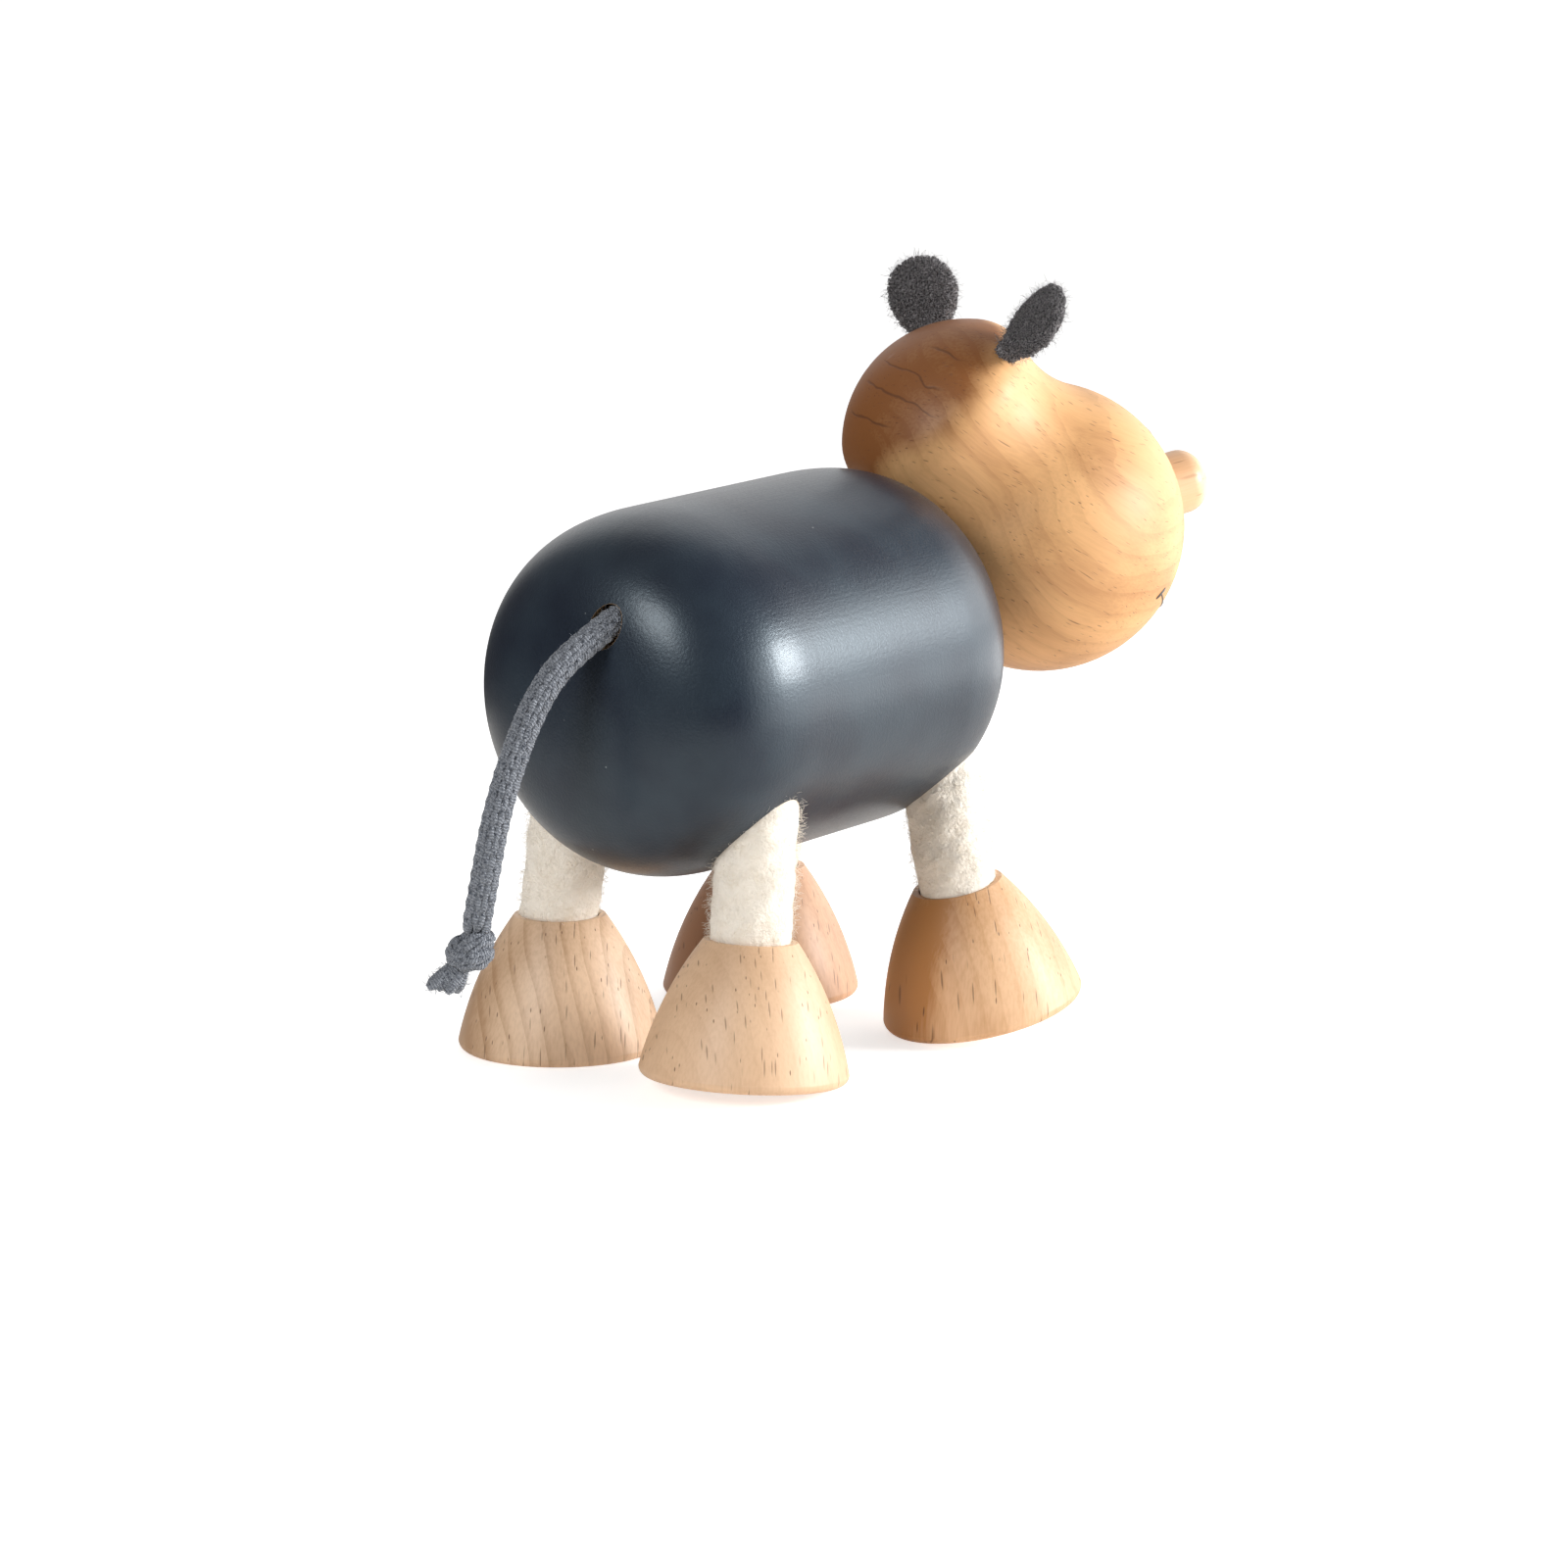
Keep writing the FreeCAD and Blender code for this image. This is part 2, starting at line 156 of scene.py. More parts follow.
# Fibres: how many a square millimetre, and their shape
EAR_LOOPS = {"density": 24, "length": 0.42 * MM, "thickness": 0.052 * MM, "curl": 0.6, "lean": 0.8, "rise": 0.15,
             "taper": 0.1}
EAR_STRAYS = {"density": 3.0, "length": 1.15 * MM, "thickness": 0.016 * MM, "curl": 0.5, "lean": 0.8}
FELT_FUZZ = {"density": 6.0, "length": 0.85 * MM, "thickness": 0.014 * MM, "curl": 0.9, "lean": 1.2}
CORD_FUZZ = {"density": 0.5, "length": 0.6 * MM, "thickness": 0.014 * MM, "curl": 0.6, "lean": 1.2}
KNOT_FUZZ = {"density": 0.4, "length": 0.55 * MM, "thickness": 0.014 * MM, "curl": 0.6, "lean": 1.2}
END_FUZZ = {"density": 3.5, "length": 0.7 * MM, "thickness": 0.02 * MM, "curl": 0.5, "lean": 1.0}

# Colours, linear
SLATE = (0.020, 0.030, 0.044)
SLATE_DEEP = (0.009, 0.013, 0.025)
DUST = (0.34, 0.36, 0.38)
BARE_BEECH = (0.40, 0.25, 0.12)
HONEY = {"pale": (0.77, 0.435, 0.190), "deep": (0.29, 0.100, 0.021), "mark": (0.11, 0.036, 0.010)}
BLOND = {"pale": (0.80, 0.545, 0.350), "deep": (0.56, 0.335, 0.185), "mark": (0.17, 0.078, 0.035)}
UMBER = {"pale": (0.80, 0.570, 0.385), "deep": (0.44, 0.260, 0.140), "mark": (0.15, 0.068, 0.030)}
AMBER = {"pale": (0.80, 0.520, 0.310), "deep": (0.47, 0.215, 0.070), "mark": (0.12, 0.046, 0.015)}
RUSSET = {"pale": (0.62, 0.370, 0.220), "deep": (0.36, 0.175, 0.090), "mark": (0.13, 0.055, 0.026)}
PEG = {"pale": (0.84, 0.55, 0.33), "deep": (0.66, 0.39, 0.20), "mark": (0.30, 0.15, 0.07)}
WOOL = (0.95, 0.885, 0.785)
WOOL_SHADE = (0.85, 0.76, 0.63)
CHARCOAL = (0.050, 0.046, 0.049)
CHARCOAL_TIP = (0.38, 0.36, 0.37)
YARN = (0.33, 0.355, 0.40)
# Darker heather of the yarn, also painted as shade in the valleys between its plies.
YARN_DARK_AND_GROOVE_SHADE = (0.060, 0.071, 0.095)
INK = (0.018, 0.016, 0.016)
STEEL = (0.42, 0.41, 0.40)
FLOOR = (0.80, 0.80, 0.80)
SHEET = (0.88, 0.85, 0.81)


# ---- small helpers for node trees ----

def plug(tree, value, socket):
    """Links a socket, or sets a plain value."""
    if isinstance(value, bpy.types.NodeSocket):
        tree.links.new(value, socket)
    elif socket.type == "RGBA":
        socket.default_value = (*value[:3], 1.0)
    else:
        socket.default_value = value


def node(tree, kind, inputs=None, **settings):
    made = tree.nodes.new(kind)
    for name, value in settings.items():
        setattr(made, name, value)
    for key, value in (inputs or {}).items():
        plug(tree, value, made.inputs[key])
    return made


def calculate(tree, operation, a, b=0.0):
    return node(tree, "ShaderNodeMath", {0: a, 1: b}, operation=operation).outputs[0]


def stretch(tree, vector, scales):
    return node(tree, "ShaderNodeVectorMath", {0: vector, 1: scales}, operation="MULTIPLY").outputs[0]


def step(tree, value, low, high):
    """0 at low, 1 at high and smooth between; low may be above high."""
    turned = low > high
    made = node(
        tree,
        "ShaderNodeMapRange",
        {
            "Value": value,
            "From Min": min(low, high),
            "From Max": max(low, high),
            "To Min": float(turned),
            "To Max": float(not turned),
        },
        interpolation_type="SMOOTHSTEP",
    )
    return made.outputs[0]


def mix(tree, share, below, above):
    made = node(tree, "ShaderNodeMix", data_type="RGBA")
    plug(tree, share, made.inputs[0])
    plug(tree, below, made.inputs[6])
    plug(tree, above, made.inputs[7])
    return made.outputs[2]


def along(tree, vector, direction):
    """How far a place lies in a direction."""
    return node(tree, "ShaderNodeVectorMath", {0: vector, 1: direction}, operation="DOT_PRODUCT").outputs["Value"]


def cloudy(tree, vector, scale, detail=2.0):
    return node(tree, "ShaderNodeTexNoise", {"Vector": vector, "Scale": scale, "Detail": detail}).outputs["Fac"]


def spots(tree, vector, size, share):
    """1 in the middle of some cells, 0 elsewhere. size is the spot's radius in cells, share how many cells have one."""
    cells = node(tree, "ShaderNodeTexVoronoi", {"Vector": vector, "Scale": 1.0})
    chance = node(tree, "ShaderNodeSeparateColor", {0: cells.outputs["Color"]}).outputs[0]
    chosen = calculate(tree, "LESS_THAN", chance, share)
    return calculate(tree, "MULTIPLY", step(tree, cells.outputs["Distance"], size, size * 0.45), chosen)


def finish(name, roughness, **settings):
    """A material with a Principled shader; returns its tree and the shader."""
    material = bpy.data.materials.new(name)
    material.use_nodes = True
    tree = material.node_tree
    shader = tree.nodes["Principled BSDF"]
    shader.inputs["Roughness"].default_value = roughness
    for key, value in settings.items():
        plug(tree, value, shader.inputs[key.replace("_", " ")])
    return material, tree, shader


def piece_place(tree, centre=(0, 0, 0), turn=(0, 0, 0)):
    """Place in millimetres from a centre, in a piece's own directions."""
    place = node(tree, "ShaderNodeTexCoord").outputs["Object"]
    settings = {"Vector": place, "Location": centre, "Rotation": turn, "Scale": (MM, MM, MM)}
    return node(tree, "ShaderNodeMapping", settings, vector_type="TEXTURE").outputs[0]


def raise_surface(tree, shader, height, depth):
    bump = node(tree, "ShaderNodeBump", {"Height": height, "Distance": depth})
    tree.links.new(bump.outputs[0], shader.inputs["Normal"])


# ---- finishes ----

def bore_mask(tree, mouth, direction, radius, reach):
    """1 within a hole's radius, near its mouth. All in metres."""
    place = node(tree, "ShaderNodeTexCoord").outputs["Object"]
    offset = node(tree, "ShaderNodeVectorMath", {0: place, 1: mouth}, operation="SUBTRACT").outputs[0]
    depth = along(tree, offset, direction)
    whole = node(tree, "ShaderNodeVectorMath", {0: offset}, operation="LENGTH").outputs["Value"]
    square = calculate(tree, "SUBTRACT", calculate(tree, "POWER", whole, 2.0), calculate(tree, "POWER", depth, 2.0))
    away = calculate(tree, "SQRT", calculate(tree, "MAXIMUM", square, 0.0))
    inside = step(tree, away, radius + 0.03 * MM, radius + 0.01 * MM)
    near = calculate(tree, "LESS_THAN", calculate(tree, "ABSOLUTE", depth), reach)
    return calculate(tree, "MULTIPLY", inside, near)


def slate_paint():
    """Satin paint on turned beech, with bare wood only inside the drilled holes."""
    # The bluish specular tint paints the reflections with the colour of bluish window light.
    material, tree, shader = finish(
        "slate_paint", 0.36, Coat_Weight=0.2, Coat_Roughness=0.24, Specular_Tint=(0.74, 0.90, 1.0)
    )
    place = piece_place(tree, BARREL_CENTRE, (0, BARREL_PITCH, 0))
    cloud = step(tree, cloudy(tree, place, 0.09), 0.3, 0.7)
    colour = mix(tree, cloud, SLATE, SLATE_DEEP)
    dust = spots(tree, stretch(tree, place, (0.27, 0.27, 0.27)), 0.042, 0.4)
    colour = mix(tree, calculate(tree, "MULTIPLY", dust, 0.55), colour, DUST)
    bare = None
    for mouth, direction, radius, reach in barrel_bores():
        hole = bore_mask(tree, mouth, direction, radius, reach)
        bare = hole if bare is None else calculate(tree, "MAXIMUM", bare, hole)
    colour = mix(tree, bare, colour, BARE_BEECH)
    tree.links.new(colour, shader.inputs["Base Color"])
    speckle = cloudy(tree, place, 3.2, 3.0)
    turning = cloudy(tree, stretch(tree, place, (2.2, 0.10, 0.10)), 1.0, 2.0)
    grain = cloudy(tree, stretch(tree, place, (0.16, 2.6, 2.6)), 1.0, 3.0)
    height = calculate(tree, "ADD", calculate(tree, "MULTIPLY", turning, 0.3), speckle)
    height = calculate(tree, "ADD", height, calculate(tree, "MULTIPLY", grain, 0.5))
    raise_surface(tree, shader, height, 0.030 * MM)
    rough = node(tree, "ShaderNodeMapRange", {"Value": speckle, "To Min": 0.28, "To Max": 0.44})
    tree.links.new(rough.outputs[0], shader.inputs["Roughness"])
    return material


def wood(name, centre, turn, tones, pith, roughness, coat, marks=1.0, cracks=0.5, crack_stretch=0.11, bands=0.12,
         heart_and_shade=None, flecks=(2.2, 0.45, 0.10), wave=2.5, fibres=0.2, lines=None):
    """Beech with its grain along the piece's own Z: growth rings, fibre streaks, short ray flecks and fine cracks.

    The heartwood-and-shade argument is a point, a direction and a blur: beyond that point the wood is darker, partly as
    darker heartwood and partly as painted shade on the side away from the light. lines adds marks of its own.
    """
    material, tree, shader = finish(name, roughness, Coat_Weight=coat, Coat_Roughness=0.3)
    place = piece_place(tree, centre, turn)
    wander = node(tree, "ShaderNodeTexNoise", {"Vector": stretch(tree, place, (0.07, 0.07, 0.04)), "Scale": 1.0})
    drift = node(
        tree,
        "ShaderNodeVectorMath",
        {0: wander.outputs["Color"], 1: (wave, wave, wave * 0.5), 2: place},
        operation="MULTIPLY_ADD",
    ).outputs[0]
    slanted = node(tree, "ShaderNodeMapping", {"Vector": drift, "Location": pith, "Rotation": (0, 0.16, 0)}).outputs[0]
    radius = node(
        tree, "ShaderNodeVectorMath", {0: stretch(tree, slanted, (1, 1, 0))}, operation="LENGTH"
    ).outputs["Value"]
    ring = calculate(tree, "FRACT", calculate(tree, "DIVIDE", radius, 2.3))
    late = step(tree, ring, 0.55, 1.0)
    fibre = cloudy(tree, stretch(tree, drift, (3.2, 3.2, 0.14)), 1.0, 3.0)
    tone = cloudy(tree, stretch(tree, drift, (0.10, 0.10, 0.05)), 1.0, 2.0)
    share = calculate(tree, "MULTIPLY", late, bands)
    share = calculate(tree, "ADD", share, calculate(tree, "MULTIPLY", step(tree, fibre, 0.35, 0.7), fibres))
    share = calculate(tree, "ADD", share, calculate(tree, "MULTIPLY", step(tree, tone, 0.35, 0.7), 0.42))
    # Darker wood beyond a point: partly heartwood, partly painted shade on the side away from the light.
    if heart_and_shade:
        middle, towards, blur = heart_and_shade
        beyond = along(tree, piece_place(tree, middle), towards)
        waver = calculate(tree, "MULTIPLY", calculate(tree, "SUBTRACT", tone, 0.5), 6.0)
        beyond = calculate(tree, "ADD", beyond, waver)
        dusk = calculate(tree, "MULTIPLY", step(tree, beyond, -blur, blur), 0.9)
        share = calculate(tree, "MINIMUM", calculate(tree, "ADD", share, dusk), 1.0)
    colour = mix(tree, share, tones["pale"], tones["deep"])
    fleck = spots(tree, stretch(tree, drift, flecks), 0.25, 0.5)
    crack = spots(tree, stretch(tree, drift, (1.5, 0.9, crack_stretch)), 0.15, cracks)
    faint = calculate(tree, "MULTIPLY", fleck, 0.62)
    dark = calculate(tree, "MAXIMUM", faint, calculate(tree, "MULTIPLY", crack, 0.85))
    if lines:
        dark = calculate(tree, "MAXIMUM", dark, lines(tree))
    colour = mix(tree, calculate(tree, "MULTIPLY", dark, marks), colour, tones["mark"])
    tree.links.new(colour, shader.inputs["Base Color"])
    height = calculate(tree, "SUBTRACT", calculate(tree, "MULTIPLY", fibre, 0.5), dark)
    raise_surface(tree, shader, height, 0.03 * MM)
    return material


def skull_lines(tree):
    """A few long drying lines over the back of the skull, each in its own plane that drops forwards."""
    place = piece_place(tree, SKULL_CENTRE, (0, 0, HEAD_YAW))
    wobble = calculate(tree, "MULTIPLY", cloudy(tree, place, 0.2, 2.0), 3.0)
    height = calculate(tree, "ADD", along(tree, place, (0.515, -0.085, 0.853)), wobble)
    sideways = along(tree, place, (0, 1, 0))
    behind = along(tree, place, (-1, 0, 0))
    strength = calculate(tree, "MULTIPLY", step(tree, behind, 2.0, 4.0), 0.9)
    marks = None
    for level, right_end, left_end in SKULL_LINES:
        off = calculate(tree, "ABSOLUTE", calculate(tree, "SUBTRACT", height, level + 1.5))
        line = step(tree, off, 0.22, 0.07)
        line = calculate(tree, "MULTIPLY", line, step(tree, sideways, right_end - 1.0, right_end + 1.0))
        line = calculate(tree, "MULTIPLY", line, step(tree, sideways, left_end + 1.0, left_end - 1.0))
        marks = line if marks is None else calculate(tree, "MAXIMUM", marks, line)
    return calculate(tree, "MULTIPLY", marks, strength)


def wool_felt():
    material, tree, shader = finish("wool_felt", 0.95, Sheen_Weight=0.3, Sheen_Roughness=0.6)
    place = piece_place(tree)
    patch = cloudy(tree, place, 0.55, 3.0)
    fine = cloudy(tree, place, 2.4, 3.0)
    shade = calculate(tree, "MULTIPLY", step(tree, patch, 0.4, 0.72), step(tree, fine, 0.3, 0.75))
    tree.links.new(mix(tree, shade, WOOL, WOOL_SHADE), shader.inputs["Base Color"])
    raise_surface(tree, shader, calculate(tree, "ADD", patch, fine), 0.22 * MM)
    return material


def fleece():
    material, tree, shader = finish("fleece", 0.97, Sheen_Weight=0.25, Sheen_Roughness=0.5)
    tuft = cloudy(tree, piece_place(tree), 4.2, 2.0)
    tree.links.new(mix(tree, step(tree, tuft, 0.38, 0.64), CHARCOAL, CHARCOAL_TIP), shader.inputs["Base Color"])
    raise_surface(tree, shader, tuft, 0.2 * MM)
    return material


def cotton_yarn():
    """Heathered yarn with painted shade in the valleys between its plies: its UV map runs along and round each strand,
    so that its plies twist.
    """
    material, tree, shader = finish("cotton_yarn", 0.92, Sheen_Weight=0.25, Sheen_Roughness=0.5)
    heather = cloudy(tree, piece_place(tree), 3.0, 4.0)
    strand = node(tree, "ShaderNodeUVMap", uv_map="strand").outputs[0]
    parts = node(tree, "ShaderNodeSeparateXYZ", {0: strand})
    twist = calculate(tree, "ADD", calculate(tree, "MULTIPLY", parts.outputs[0], 1.6), parts.outputs[1])
    ply = calculate(tree, "SINE", calculate(tree, "MULTIPLY", twist, 4 * math.pi))
    # Painted shade in the valleys between the twisted plies.
    groove_shade = calculate(tree, "MULTIPLY", step(tree, ply, 0.3, -0.9), 0.55)
    shade = calculate(tree, "MAXIMUM", step(tree, heather, 0.42, 0.68), groove_shade)
    tree.links.new(mix(tree, shade, YARN, YARN_DARK_AND_GROOVE_SHADE), shader.inputs["Base Color"])
    height = calculate(tree, "ADD", calculate(tree, "MULTIPLY", ply, 0.4), heather)
    raise_surface(tree, shader, height, 0.16 * MM)
    return material


def ink():
    material, tree, shader = finish("ink", 0.45, Coat_Weight=0.3, Coat_Roughness=0.25)
    grain = cloudy(tree, piece_place(tree), 3.0, 2.0)
    tree.links.new(mix(tree, grain, INK, (0.05, 0.045, 0.042)), shader.inputs["Base Color"])
    return material


def drawn_steel():
    material, tree, shader = finish("drawn_steel", 0.35, Metallic=1.0)
    streak = cloudy(tree, stretch(tree, piece_place(tree), (6, 6, 0.3)), 1.0, 2.0)
    tree.links.new(mix(tree, streak, STEEL, (0.55, 0.54, 0.52)), shader.inputs["Base Color"])
    return material


# ---- meshes ----

def to_object(name, build, material):
    """A new object whose mesh comes from a bmesh."""
    mesh = bpy.data.meshes.new(name)
    build.normal_update()
    build.to_mesh(mesh)
    build.free()
    mesh.set_sharp_from_angle(angle=math.radians(60))
    mesh.materials.append(material)
    made = bpy.data.objects.new(name, mesh)
    bpy.context.scene.collection.objects.link(made)
    return made


def curve_points(points, resolution=12):
    """Points read from a smooth NURBS line through the given control points."""
    data = bpy.data.curves.new("line", "CURVE")
    data.dimensions = "3D"
    data.resolution_u = resolution
    spline = data.splines.new("NURBS")
    spline.points.add(len(points) - 1)
    for place, control in zip(points, spline.points):
        control.co = (*place, 1.0)
    spline.order_u = 3
    spline.use_endpoint_u = True
    holder = bpy.data.objects.new("line", data)
    mesh = bpy.data.meshes.new_from_object(holder)
    line = [vertex.co.copy() for vertex in mesh.vertices]
    bpy.data.objects.remove(holder)
    bpy.data.meshes.remove(mesh)
    return line


class Track:
    """Directions carried along a line without twist."""

    def __init__(self, line, first_side):
        self.line = line
        self.reach = [0.0]
        for a, b in zip(line, line[1:]):
            self.reach.append(self.reach[-1] + (b - a).length)
        self.ahead = []
        for i in range(len(line)):
            before, after = line[max(i - 1, 0)], line[min(i + 1, len(line) - 1)]
            self.ahead.append((after - before).normalized())
        side = first_side - self.ahead[0] * first_side.dot(self.ahead[0])
        self.side = [side.normalized()]
        for a, b in zip(self.ahead, self.ahead[1:]):
            turned = a.rotation_difference(b) @ self.side[-1]
            self.side.append((turned - b * turned.dot(b)).normalized())

    def length(self):
        return self.reach[-1]

    def at(self, distance, angle, radius):
        """The point at a distance along, an angle round and a radius out."""
        distance = min(max(distance, 0.0), self.length())
        i = max(k for k in range(len(self.line) - 1) if self.reach[k] <= distance)
        share = (distance - self.reach[i]) / max(self.reach[i + 1] - self.reach[i], 1e-12)
        centre = self.line[i].lerp(self.line[i + 1], share)
        ahead = self.ahead[i].lerp(self.ahead[i + 1], share).normalized()
        side = self.side[i].lerp(self.side[i + 1], share).normalized()
        return centre + (side * math.cos(angle) + ahead.cross(side) * math.sin(angle)) * radius


def add_tube(build, line, radii, sides, uv=None):
    """A closed tube along a line, with a radius at each of its points."""
    track = Track(line, Vector((0.31, 0.57, 0.76)))
    rings = []
    for i, radius in enumerate(radii):
        across = track.side[i]
        up = track.ahead[i].cross(across)
        turns = (2 * math.pi * k / sides for k in range(sides))
        rings.append(
            [build.verts.new(line[i] + (across * math.cos(t) + up * math.sin(t)) * radius) for t in turns]
        )
    for i, (low, high) in enumerate(zip(rings, rings[1:])):
        for k in range(sides):
            after = (k + 1) % sides
            face = build.faces.new((low[k], low[after], high[after], high[k]))
            if uv:
                lengths = (track.reach[i], track.reach[i], track.reach[i + 1], track.reach[i + 1])
                rounds = (k, k + 1, k + 1, k)
                for loop, length, turn in zip(face.loops, lengths, rounds):
                    loop[uv].uv = (length / MM, turn / sides)
    build.faces.new(list(reversed(rings[0])))
    build.faces.new(rings[-1])


def knitted_cord(build, line, first_side, radius, columns=STITCH_COLUMNS, pitch=STITCH_PITCH):
    """Columns of V-shaped yarn stitches round a plain core, which follow a line."""
    uv = build.loops.layers.uv.verify()
    track = Track(line, first_side)
    yarn = radius * 0.27
    add_tube(build, line, [radius - yarn * 1.7] * len(line), 12, uv)
    width = 2 * math.pi / columns
    rows = int(track.length() / pitch)
    for column in range(columns):
        for row in range(-1, rows):
            for hand in (-1, 1):
                leg = []
                for k in range(7):
                    share = k / 6
                    distance = (row + 0.5 * (column % 2) + share * 1.75) * pitch
                    swing = hand * width * (0.44 - 0.36 * share**0.8)
                    lift = radius - yarn * (0.9 + 1.15 * (2 * share - 1) ** 2)
                    leg.append(track.at(distance, column * width + swing, lift))
                if (leg[-1] - leg[0]).length > pitch:
                    sizes = [yarn * (0.5 + 0.52 * math.sin(math.pi * k / 6)) for k in range(7)]
                    add_tube(build, leg, sizes, 6, uv)


# ---- fibres, by geometry nodes ----

def pile_tree():
    """Stands short curved fibres, or loops where the tip comes back down, on the faces marked by the attribute pile."""
    tree = bpy.data.node_groups.new("pile", "GeometryNodeTree")
    sockets = (
        ("Geometry", "NodeSocketGeometry"),
        ("Density", "NodeSocketFloat"),
        ("Length", "NodeSocketFloat"),
        ("Thickness", "NodeSocketFloat"),
        ("Curl", "NodeSocketFloat"),
        ("Rise", "NodeSocketFloat"),
        ("Taper", "NodeSocketFloat"),
        ("Lean", "NodeSocketFloat"),
        ("Seed", "NodeSocketInt"),
        ("Material", "NodeSocketMaterial"),
    )
    for name, kind in sockets:
        tree.interface.new_socket(name, in_out="INPUT", socket_type=kind)
    tree.interface.new_socket("Geometry", in_out="OUTPUT", socket_type="NodeSocketGeometry")
    given = node(tree, "NodeGroupInput").outputs
    marked = node(tree, "GeometryNodeInputNamedAttribute", {"Name": "pile"}, data_type="FLOAT").outputs[0]
    density = calculate(tree, "MULTIPLY", marked, given["Density"])
    scatter = node(
        tree,
        "GeometryNodeDistributePointsOnFaces",
        {"Mesh": given["Geometry"], "Density": density, "Seed": given["Seed"]},
    )
    tip = node(tree, "ShaderNodeCombineXYZ", {"X": given["Curl"], "Y": 0.0, "Z": given["Rise"]}).outputs[0]
    over = calculate(tree, "SUBTRACT", 1.45, given["Rise"])
    middle = node(tree, "ShaderNodeCombineXYZ", {"X": 0.0, "Y": 0.0, "Z": over}).outputs[0]
    spine = node(
        tree,
        "GeometryNodeCurveQuadraticBezier",
        {"Resolution": 5, "Start": (0, 0, -0.05), "Middle": middle, "End": tip},
    )
    share = node(tree, "GeometryNodeSplineParameter").outputs["Factor"]
    taper = calculate(tree, "SUBTRACT", 1.0, calculate(tree, "MULTIPLY", share, given["Taper"]))
    thin = node(tree, "GeometryNodeSetCurveRadius", {"Curve": spine.outputs[0], "Radius": taper})
    slimness = calculate(tree, "DIVIDE", given["Thickness"], given["Length"])
    section = node(tree, "GeometryNodeCurvePrimitiveCircle", {"Resolution": 3, "Radius": slimness})
    fibre = node(
        tree,
        "GeometryNodeCurveToMesh",
        {"Curve": thin.outputs[0], "Profile Curve": section.outputs[0], "Fill Caps": True},
    )
    least = calculate(tree, "MULTIPLY", given["Lean"], -1.0)
    low = node(tree, "ShaderNodeCombineXYZ", {"X": least, "Y": least, "Z": 0.0}).outputs[0]
    high = node(tree, "ShaderNodeCombineXYZ", {"X": given["Lean"], "Y": given["Lean"], "Z": 2 * math.pi}).outputs[0]
    chance = node(tree, "FunctionNodeRandomValue", data_type="FLOAT_VECTOR")
    plug(tree, low, chance.inputs[0])
    plug(tree, high, chance.inputs[1])
    tilt = node(tree, "FunctionNodeEulerToRotation", {0: chance.outputs[0]}).outputs[0]
    turned = node(
        tree,
        "FunctionNodeRotateRotation",
        {0: scatter.outputs["Rotation"], 1: tilt},
        rotation_space="LOCAL",
    ).outputs[0]
    size = node(tree, "FunctionNodeRandomValue", data_type="FLOAT")
    size.inputs[2].default_value = 0.55
    size.inputs[3].default_value = 1.25
    scale = calculate(tree, "MULTIPLY", size.outputs[1], given["Length"])
    placed = node(
        tree,
        "GeometryNodeInstanceOnPoints",
        {"Points": scatter.outputs["Points"], "Instance": fibre.outputs[0], "Rotation": turned, "Scale": scale},
    )
    joined = node(tree, "GeometryNodeJoinGeometry")
    tree.links.new(placed.outputs[0], joined.inputs[0])
    tree.links.new(given["Geometry"], joined.inputs[0])
    real = node(tree, "GeometryNodeRealizeInstances", {0: joined.outputs[0]})
    coated = node(tree, "GeometryNodeSetMaterial", {0: real.outputs[0], "Material": given["Material"]})
    tree.links.new(coated.outputs[0], node(tree, "NodeGroupOutput").inputs[0])
    return tree


def grow_pile(piece, tree, density, length, thickness, curl, lean, seed, rise=0.85, taper=0.7):
    """Adds fibres to a piece and makes it one plain mesh. density is in fibres per square millimetre."""
    values = {
        "Density": density / MM**2,
        "Length": length,
        "Thickness": thickness,
        "Curl": curl,
        "Rise": rise,
        "Taper": taper,
        "Lean": lean,
        "Seed": seed,
        "Material": piece.data.materials[0],
    }
    grower = piece.modifiers.new("pile", "NODES")
    grower.node_group = tree
    for socket in tree.interface.items_tree:
        if socket.in_out == "INPUT" and socket.name in values:
            grower[socket.identifier] = values[socket.name]
    grown = bpy.data.meshes.new_from_object(piece.evaluated_get(bpy.context.evaluated_depsgraph_get()))
    piece.modifiers.remove(grower)
    grown.name = piece.name
    piece.data = grown
    return piece


def mark_pile(piece, wanted):
    """Marks where fibres grow: wanted gives 0 to 1 for a vertex."""
    marked = piece.data.attributes.new("pile", "FLOAT", "POINT")
    marked.data.foreach_set("value", [float(wanted(vertex)) for vertex in piece.data.vertices])


# ---- pieces ----

def joint_place(name):
    return Vector(JOINTS[name]["pos_m"])


def leg_points(leg):
    """Hip, knee and ankle."""
    names = ("hip_swing_", "leg_splay_", "ankle_pitch_")
    return [joint_place(name + leg) for name in names]


def barrel_bores():
    """Mouth, direction, radius and reach of each hole in the barrel."""
    bores = [
        (TAIL_ROUTE[0], TAIL_OUTWARD, TAIL_HOLE_RADIUS, TAIL_HOLE_REACH),
        (joint_place("neck_turn"), NECK_WAY, NECK_RADIUS + BORE_FIT, BORE_REACH),
    ]
    for leg in LEGS:
        hip, _, ankle = leg_points(leg)
        bores.append((hip, (hip - ankle).normalized(), SLEEVE_RADIUS + BORE_FIT, BORE_REACH))
    return bores


def felt_lump(place):
    """Unevenness of the felt's surface."""
    broad = noise.noise(place * (0.33 / MM))
    fine = noise.noise(place * (1.1 / MM))
    return (0.32 * broad + 0.17 * fine) * MM


